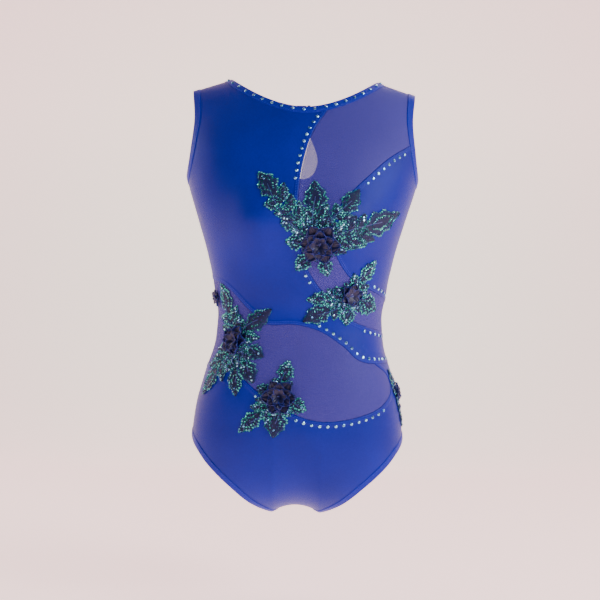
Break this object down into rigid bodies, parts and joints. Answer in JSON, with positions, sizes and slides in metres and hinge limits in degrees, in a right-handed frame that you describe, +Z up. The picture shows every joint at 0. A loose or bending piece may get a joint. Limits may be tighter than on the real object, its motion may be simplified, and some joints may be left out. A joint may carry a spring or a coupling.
{
  "type": "gymnastics leotard",
  "caption": "Sleeveless gymnastics leotard with opaque and net panels, bound edges, rhinestone lines, lace sprays with fabric flowers, and a keyhole back with a button and loop.",
  "frame": {"origin": "midway between the two neck points of the shoulder line", "axes": "+Z up from crotch to shoulders, the chest faces -Y, +X is the wearer's left"},
  "size_m": [0.3008, 0.234, 0.5597],
  "materials": {
    "cloth": "royal blue stretch knit with a satin sheen",
    "net": "fine see-through stretch net",
    "binding": "folded stretch binding with even stitching",
    "elastic": "woven elastic",
    "tape": "overlocked seam allowance",
    "stone": "faceted crystal with an iridescent coating",
    "lace": "embroidered lace with teal sequins",
    "organza": "crisp navy organza",
    "pearl": "glossy",
    "label": "plain white woven tape"
  },
  "bodies": {
    "garment": {"front_bodice_panel": "cloth", "shoulder_net_panel": "net", "side_bodice_panel": "cloth", "midriff_net_panel": "net", "front_brief_panel": "cloth", "back_left_panel": "cloth", "back_right_panel": "cloth", "neck_binding": "binding", "neck_elastic": "elastic", "keyhole_binding": "binding", "left_armhole_binding": "binding", "left_armhole_elastic": "elastic", "left_leg_hem": "binding", "left_leg_elastic": "elastic", "right_armhole_binding": "binding", "right_armhole_elastic": "elastic", "right_leg_hem": "binding", "right_leg_elastic": "elastic", "left_shoulder_seam": "tape", "right_shoulder_seam": "tape", "left_side_seam": "tape", "right_side_seam": "tape", "crotch_seam": "tape", "centre_back_seam": "tape", "crotch_lining": "cloth", "care_label": "label", "bodice_stones_upper": "stone", "bodice_stones_lower": "stone", "band_stones_upper": "stone", "side_panel_stones_upper": "stone", "side_panel_stones_lower": "stone", "waist_stones": "stone", "brief_stones_right": "stone", "brief_stones_left": "stone", "neck_stones": "stone", "chest_lace": "lace", "waist_lace": "lace", "right_hip_lace": "lace", "lower_lace": "lace", "left_hip_lace": "lace", "chest_flower_petals": "organza", "chest_flower_inner_petals": "organza", "chest_flower_bead": "pearl", "waist_flower_petals": "organza", "waist_flower_bead": "pearl", "right_hip_flower_petals": "organza", "right_hip_flower_inner_petals": "organza", "right_hip_flower_bead": "pearl", "right_waist_blossom_petals": "organza", "right_waist_blossom_bead": "pearl", "lower_flower_petals": "organza", "lower_flower_inner_petals": "organza", "lower_flower_bead": "pearl", "left_hip_blossom_petals": "organza", "left_hip_blossom_bead": "pearl", "nape_button": "pearl", "loop_tab": "binding"},
    "loop": {"button_loop": "elastic"}
  },
  "joints": [
    {"name": "loop_hinge", "type": "hinge", "parent": "garment", "child": "loop", "pos_m": [0.0034, 0.05768, -0.02883], "axis": [0, 0.6041, -0.7969], "range_deg": [0, 110]}
  ]
}
